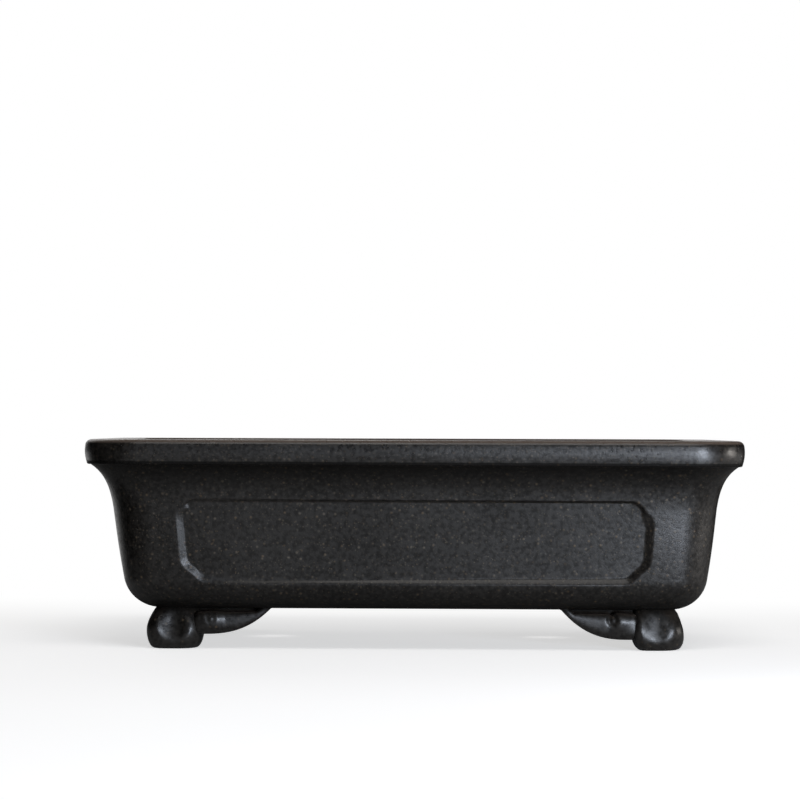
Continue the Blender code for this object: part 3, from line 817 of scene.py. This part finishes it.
class Tree:
    """An empty node tree, and one way to put any node in it."""

    def __init__(self, owner):
        owner.use_nodes = True
        self.made = owner.node_tree
        self.made.nodes.clear()

    def node(self, kind, settings, sockets):
        """Adds a node: its settings first, then its sockets' values or links; gives back its outputs."""
        node = self.made.nodes.new(kind)
        for name, value in settings.items():
            setattr(node, name, value)
        inputs = {socket.identifier: socket for socket in node.inputs}
        for name, value in sockets.items():
            if isinstance(value, Wire):
                self.made.links.new(value.socket, inputs[name])
            else:
                inputs[name].default_value = value
        return {socket.identifier: Wire(self, socket) for socket in node.outputs}

    def mix(self, share, first, second):
        """A colour between two others."""
        sockets = {"Factor_Float": share, "A_Color": first, "B_Color": second}
        return self.node("ShaderNodeMix", {"data_type": "RGBA"}, sockets)["Result_Color"]


def colour(red, green, blue):
    """A colour as the nodes take it."""
    return (red, green, blue, 1.0)


# Clay colours, linear: the darkest and lightest tone of each clay, its specks, the painted shade where it
# is not rubbed and the painted warm light on faces that look up.
BLACK_CLAY = (colour(0.0035, 0.0030, 0.0025), colour(0.0140, 0.0120, 0.0100))
RAW_CLAY = (colour(0.0580, 0.0490, 0.0420), colour(0.1080, 0.0920, 0.0800))
PALE_SPECK = colour(0.078, 0.067, 0.052)
BROWN_SPECK = colour(0.078, 0.053, 0.030)
# Painted shade: the dark tone of clay under the rim's curl, at the bottom edge and on the foot tops.
PAINTED_SHADE = colour(0.0020, 0.0018, 0.0015)
# Painted warm light on what faces up, strongest on the rim's top.
TOP_LIGHT_COLOUR = colour(0.185, 0.138, 0.108)

# Grain of the clay, as counts to the metre, and the size of a speck in its cell.
CLOUDS = 22.0
MOTTLES = 520.0
TOOTH = 1500.0
GROG = 400.0
DUST = 760.0
GROG_SIZE = 0.38
DUST_SIZE = 0.40
CLOUD_DETAIL = 3.0
GRAIN_DETAIL = 2.0

# How the grain shows in the clay's tone, where the painted warm light on faces that look up begins and
# ends, and how much tone the painted shade leaves.
CLOUD_EDGE = (0.30, 0.70)
MOTTLE_EDGE = (0.30, 0.72)
TOP_LIGHT_EDGE = (0.35, 0.95)
CLOUD_SHARE = 0.3
DUST_SHARE = 0.70
TONE_LEFT_IN_SHADE = 0.3

# How it shows in the roughness, and in the relief that the light catches.
CLOUD_UNEVEN = 0.06
MOTTLE_UNEVEN = 0.12
TOOTH_UNEVEN = 0.10
GROG_UNEVEN = 0.10
TOOTH_RELIEF = 0.6
MOTTLE_RELIEF = 0.35
GROG_RELIEF = 0.4
RELIEF_STRENGTH = 0.35

# Clay that was never rubbed, and where and how well the rest was; the clay that was not rubbed also gets
# painted shade in its tone.
RAW_SHEEN = 0.088
RAW_ROUGHNESS = 0.62
RUB_AND_SHADE_FOOT = (0.0165, 0.0345)
RUB_AND_SHADE_HEAD = (0.0670, 0.0860)
RUB_AND_SHADE_TOE = (0.0158, 0.0185)
RUB_LEAST = 0.80
RUB_MOTTLE = 0.40
GROG_DULL = 0.3

# Finishes: sheen, roughness, painted warm light on what faces up, share of specks, depth of the tooth in
# metres.
WALL_LOOK = {"sheen": 0.412, "roughness": 0.37, "painted_top_light": 0.10, "specks": 0.75, "tooth_depth": 0.00018}
RAW_LOOK = {"sheen": RAW_SHEEN, "roughness": 0.72, "painted_top_light": 0.05, "specks": 0.50, "tooth_depth": 0.00040}
RIM_LOOK = {"sheen": 0.475, "roughness": 0.34, "painted_top_light": 0.72, "specks": 0.60, "tooth_depth": 0.00015}
FOOT_LOOK = {"sheen": 0.375, "roughness": 0.35, "painted_top_light": 0.12, "specks": 0.18, "tooth_depth": 0.00012}


def fired_clay(name, tones, rubbed, sheen, roughness, painted_top_light, specks, tooth_depth):
    """Unglazed stoneware: cloudy tone, pale and brown specks, a fine tooth, rubbed to a satin sheen;
    painted warm light on faces that look up, painted shade where it is not rubbed.
    """
    material = bpy.data.materials.new(name)
    tree = Tree(material)
    place = tree.node("ShaderNodeTexCoord", {}, {})["Object"]

    def noise(count, detail):
        sockets = {"Vector": place, "Scale": count, "Detail": detail}
        return tree.node("ShaderNodeTexNoise", {}, sockets)["Fac"]

    def specks_of(count, size):
        cells = tree.node("ShaderNodeTexVoronoi", {}, {"Vector": place, "Scale": count})
        luck = tree.node("ShaderNodeSeparateColor", {}, {"Color": cells["Color"]})
        kept = luck["Red"] > 1.0 - specks
        speck = (1.0 - cells["Distance"].ramp(0.0, size)) * kept * luck["Green"]
        return speck, tree.mix(luck["Blue"], BROWN_SPECK, PALE_SPECK)

    cloud = noise(CLOUDS, CLOUD_DETAIL).ramp(*CLOUD_EDGE)
    mottle = noise(MOTTLES, GRAIN_DETAIL).ramp(*MOTTLE_EDGE)
    tooth = noise(TOOTH, GRAIN_DETAIL)
    grog, grog_colour = specks_of(GROG, GROG_SIZE)
    dust, dust_colour = specks_of(DUST, DUST_SIZE)
    # Where the clay is rubbed; where it is not, its tone is painted shade.
    rubbed_unshaded = rubbed(place.part("Z"))
    facing = tree.node("ShaderNodeNewGeometry", {}, {})["Normal"]
    lit_from_above = facing.part("Z").ramp(*TOP_LIGHT_EDGE)
    tone = tree.mix(cloud * CLOUD_SHARE + mottle * (1.0 - CLOUD_SHARE), *tones)
    # Painted warm light: faces that look up are made lighter and browner.
    tone = tree.mix(lit_from_above * painted_top_light, tone, TOP_LIGHT_COLOUR)
    tone = tree.mix(dust * DUST_SHARE, tone, dust_colour)
    tone = tree.mix(grog, tone, grog_colour)
    # Painted shade where the clay is not rubbed: under the rim's curl, at the bottom edge and on the foot
    # tops.
    tone = tree.mix(rubbed_unshaded * (1.0 - TONE_LEFT_IN_SHADE) + TONE_LEFT_IN_SHADE, PAINTED_SHADE, tone)
    uneven = cloud.swing() * CLOUD_UNEVEN + mottle.swing() * MOTTLE_UNEVEN
    uneven = uneven + tooth.swing() * TOOTH_UNEVEN + grog * GROG_UNEVEN
    relief = tooth * TOOTH_RELIEF + mottle * MOTTLE_RELIEF + grog * GROG_RELIEF
    sockets = {"Height": relief, "Strength": RELIEF_STRENGTH, "Distance": tooth_depth}
    toothed = tree.node("ShaderNodeBump", {}, sockets)["Normal"]

    def surface(rough, shine):
        sockets = {"Base Color": tone, "Roughness": rough, "Specular IOR Level": shine, "Normal": toothed}
        return tree.node("ShaderNodeBsdfPrincipled", {}, sockets)["BSDF"]

    sockets = {"Fac": rubbed_unshaded * (RUB_LEAST + mottle * RUB_MOTTLE) - grog * GROG_DULL,
               "Shader": surface(RAW_ROUGHNESS + uneven, RAW_SHEEN),
               "Shader_001": surface(roughness + uneven, sheen)}
    shown = tree.node("ShaderNodeMixShader", {}, sockets)
    tree.node("ShaderNodeOutputMaterial", {}, {"Surface": shown["Shader"]})
    return material


# Stage: a pale floor that runs out into a white backdrop.
FLOOR_RADIUS = 2.6
FLOOR_CORNERS = 96
FLOOR_COLOUR = colour(0.82, 0.82, 0.82)
FLOOR_LIFT = colour(0.60, 0.60, 0.60)
WHITE = colour(1.0, 1.0, 1.0)
BLACK = colour(0.0, 0.0, 0.0)
FADE_BEHIND = (0.25, 1.40)
FADE_SEEN = (0.02, 0.36)
FADE_AROUND = (0.65, 1.50)
ROOM_DIM = colour(0.032, 0.032, 0.034)
ROOM_FRONT = colour(0.200, 0.204, 0.216)
FRONT_EDGE = (0.55, 0.95)
BACKDROP_EDGE = (0.80, 0.92)

# Dark cards: the x at which each stands, and where it begins and ends along y.
CARDS = {"left_dark_card": (-0.215, -0.35, -0.03), "right_dark_card": (0.27, 0.03, 0.50)}
CARD_HEIGHT = 0.40
CARD_COLOUR = colour(0.01, 0.01, 0.01)

# Tints of the lamps.
COOL = (0.80, 0.875, 1.0)
WARM = (1.0, 0.95, 0.90)
NEUTRAL = (1.0, 0.98, 0.96)

# Soft lamps: where each stands, its width and height, how brightly it glows, and its tint.
LAMPS = {
    "high_softbox": ((0.12, -0.85, 1.22), 0.80, 0.50, 4.2, NEUTRAL),
    "key_softbox": ((0.465, -1.08, 0.10), 0.30, 0.20, 40.4, COOL),
    "right_softbox": ((1.10, -0.09, 0.08), 0.20, 0.16, 24.0, WARM),
    "low_softbox": ((0.250, -0.37, 0.02), 0.13, 0.04, 26.0, COOL),
    "back_softbox": ((-0.40, 1.10, 0.80), 0.90, 0.60, 1.04, NEUTRAL),
}
LAMP_AIM = Vector((0.0, 0.0, RIM_TOP / 2))


def make_floor():
    """A plain pale floor that keeps the pot's shadow and runs out to white."""
    mesh = bpy.data.meshes.new("studio_floor")
    bm = bmesh.new()
    bmesh.ops.create_circle(bm, cap_ends=True, segments=FLOOR_CORNERS, radius=FLOOR_RADIUS)
    bm.to_mesh(mesh)
    bm.free()
    floor = bpy.data.objects.new("studio_floor", mesh)
    bpy.context.scene.collection.objects.link(floor)
    material = bpy.data.materials.new("pale_floor")
    tree = Tree(material)
    sockets = {"Base Color": FLOOR_COLOUR, "Roughness": 1.0, "Specular IOR Level": 0.0}
    surface = tree.node("ShaderNodeBsdfPrincipled", {}, sockets)["BSDF"]
    place = tree.node("ShaderNodeTexCoord", {}, {})["Object"]
    depth = place.part("Y")
    reach = tree.node("ShaderNodeVectorMath", {"operation": "LENGTH"}, {"Vector": place})["Value"]
    rays = tree.node("ShaderNodeLightPath", {}, {})
    seen = rays["Is Camera Ray"] + rays["Is Glossy Ray"] + rays["Is Transmission Ray"]
    behind = depth.ramp(*FADE_BEHIND).most(depth.ramp(*FADE_SEEN) * seen)
    behind = behind.most(reach.ramp(*FADE_AROUND) * rays["Is Camera Ray"])
    white = tree.node("ShaderNodeEmission", {}, {"Color": WHITE, "Strength": 1.0})["Emission"]
    lift_colour = tree.mix(rays["Is Camera Ray"], BLACK, FLOOR_LIFT)
    lift = tree.node("ShaderNodeEmission", {}, {"Color": lift_colour})["Emission"]
    lifted = tree.node("ShaderNodeAddShader", {}, {"Shader": surface, "Shader_001": lift})["Shader"]
    shown = tree.node("ShaderNodeMixShader", {}, {"Fac": behind, "Shader": lifted, "Shader_001": white})
    tree.node("ShaderNodeOutputMaterial", {}, {"Surface": shown["Shader"]})
    mesh.materials.append(material)


def make_world():
    """A dim room, paler in front of the pot, with a white backdrop behind it."""
    world = bpy.data.worlds.new("studio")
    bpy.context.scene.world = world
    tree = Tree(world)
    depth = tree.node("ShaderNodeTexCoord", {}, {})["Generated"].part("Y")
    room = tree.mix((0.0 - depth).ramp(*FRONT_EDGE), ROOM_DIM, ROOM_FRONT)
    rays = tree.node("ShaderNodeLightPath", {}, {})
    room = tree.mix(depth.ramp(*BACKDROP_EDGE).most(rays["Is Camera Ray"]), room, WHITE)
    shown = tree.node("ShaderNodeBackground", {}, {"Color": room, "Strength": 1.0})
    tree.node("ShaderNodeOutputWorld", {}, {"Surface": shown["Background"]})


def softbox(name, place, width, height, glow, tint):
    """A soft lamp that faces the pot and glows evenly."""
    light = bpy.data.lights.new(name, "AREA")
    light.shape = "RECTANGLE"
    light.size = width
    light.size_y = height
    light.energy = glow * math.pi * width * height
    light.color = tint
    lamp = bpy.data.objects.new(name, light)
    lamp.location = place
    lamp.rotation_euler = (LAMP_AIM - Vector(place)).to_track_quat("-Z", "Y").to_euler()
    lamp.visible_camera = False
    bpy.context.scene.collection.objects.link(lamp)


def dark_card(name, place_x, front, back):
    """A dark card beside the pot, which keeps that end of it from shining."""
    mesh = bpy.data.meshes.new(name)
    bm = bmesh.new()
    outline = ((front, 0.0), (back, 0.0), (back, CARD_HEIGHT), (front, CARD_HEIGHT))
    bm.faces.new([bm.verts.new((place_x, y, z)) for y, z in outline])
    bm.to_mesh(mesh)
    bm.free()
    card = bpy.data.objects.new(name, mesh)
    card.visible_camera = False
    card.visible_shadow = False
    card.visible_diffuse = False
    bpy.context.scene.collection.objects.link(card)
    material = bpy.data.materials.new(name)
    tree = Tree(material)
    surface = tree.node("ShaderNodeBsdfDiffuse", {}, {"Color": CARD_COLOUR})
    tree.node("ShaderNodeOutputMaterial", {}, {"Surface": surface["BSDF"]})
    mesh.materials.append(material)


def make_lights():
    """The soft lamps, and the dark cards that shade both ends."""
    for name, lamp in LAMPS.items():
        softbox(name, *lamp)
    for name, card in CARDS.items():
        dark_card(name, *card)


# Camera, for a picture of 800 by 800.
PICTURE = 800
FOCAL_PIXELS = 3026.0
CAMERA_PLACE = Vector((-0.0069, -1.452, 0.1010))
CAMERA_ROLL = math.radians(0.29)
CAMERA_LIFT = math.radians(0.5335)
SENSOR = 36.0


def make_camera():
    """A camera in front of the pot, a little above its rim."""
    data = bpy.data.cameras.new("camera")
    data.sensor_width = SENSOR
    data.lens = FOCAL_PIXELS * SENSOR / PICTURE
    camera = bpy.data.objects.new("camera", data)
    look = Matrix.Rotation(QUARTER_TURN + CAMERA_LIFT, 4, "X") @ Matrix.Rotation(CAMERA_ROLL, 4, "Z")
    camera.matrix_world = Matrix.Translation(CAMERA_PLACE) @ look
    bpy.context.scene.collection.objects.link(camera)
    bpy.context.scene.camera = camera


def rub_and_shade_wall(level):
    """The wall is rubbed between the curl under its rim and its bottom edge; above and below that, its
    tone is painted shade.
    """
    return level.ramp(*RUB_AND_SHADE_FOOT) * (1.0 - level.ramp(*RUB_AND_SHADE_HEAD))


def rub_and_shade_rim(level):
    """The rim is rubbed down to the rounding of its lower edge, whose tone is painted shade."""
    return level.ramp(RIM_FOOT, RIM_FOOT + RIM_LOWER_ROUND)


def rub_and_shade_foot(level):
    """A foot is rubbed up to where it runs in under the pot; above that, its tone is painted shade."""
    return 1.0 - level.ramp(*RUB_AND_SHADE_TOE)


def bare_inside(level):
    """The inside looks the same at every level."""
    return 1.0


wall_finish = fired_clay("burnished_wall", BLACK_CLAY, rub_and_shade_wall, **WALL_LOOK)
raw_finish = fired_clay("raw_inside", RAW_CLAY, bare_inside, **RAW_LOOK)
rim_finish = fired_clay("burnished_rim", BLACK_CLAY, rub_and_shade_rim, **RIM_LOOK)
foot_finish = fired_clay("rub_and_shade_foot", BLACK_CLAY, rub_and_shade_foot, **FOOT_LOOK)
make_pot(wall_finish, raw_finish)
make_rim(rim_finish, raw_finish)
make_feet(foot_finish)
make_floor()
make_world()
make_lights()
make_camera()
bpy.context.scene.view_settings.view_transform = "Standard"
